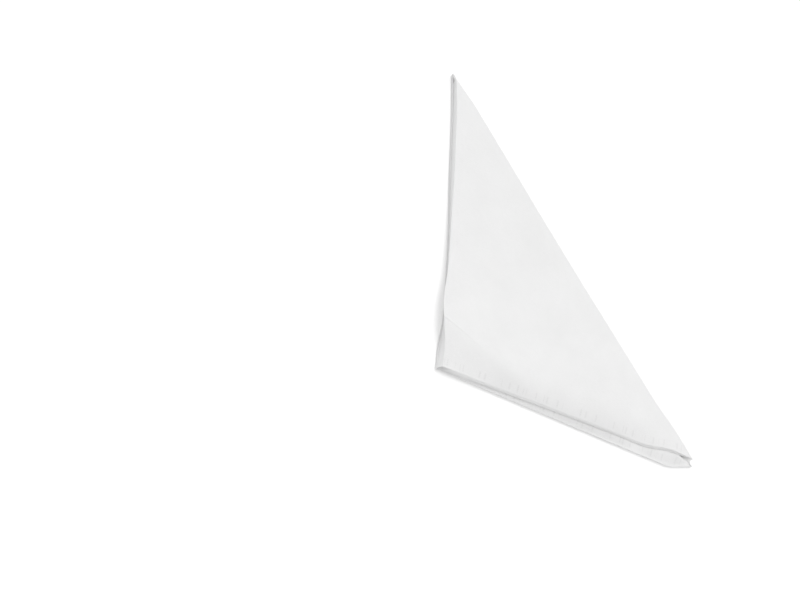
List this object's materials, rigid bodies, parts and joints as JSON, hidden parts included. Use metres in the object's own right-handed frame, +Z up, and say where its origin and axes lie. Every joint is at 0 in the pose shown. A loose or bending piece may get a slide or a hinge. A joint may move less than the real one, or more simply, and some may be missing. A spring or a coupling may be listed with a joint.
{
  "type": "paper napkin",
  "caption": "Paper napkin folded to a square and then across the diagonal into a flat triangle, its front leaf sprung a little open; for wiping hands and mouth at the table",
  "frame": {"origin": "on the surface the napkin lies on, under the middle of its folded square", "axes": "+X along the open edges towards the loose tip, +Y along the folded edge towards the sharp end, +Z up, from the back leaf to the front leaf"},
  "size_m": [0.165, 0.1651, 0.0051],
  "materials": {
    "tissue": "matt white creped tissue"
  },
  "bodies": {
    "root": {"napkin": "tissue"}
  },
  "joints": []
}
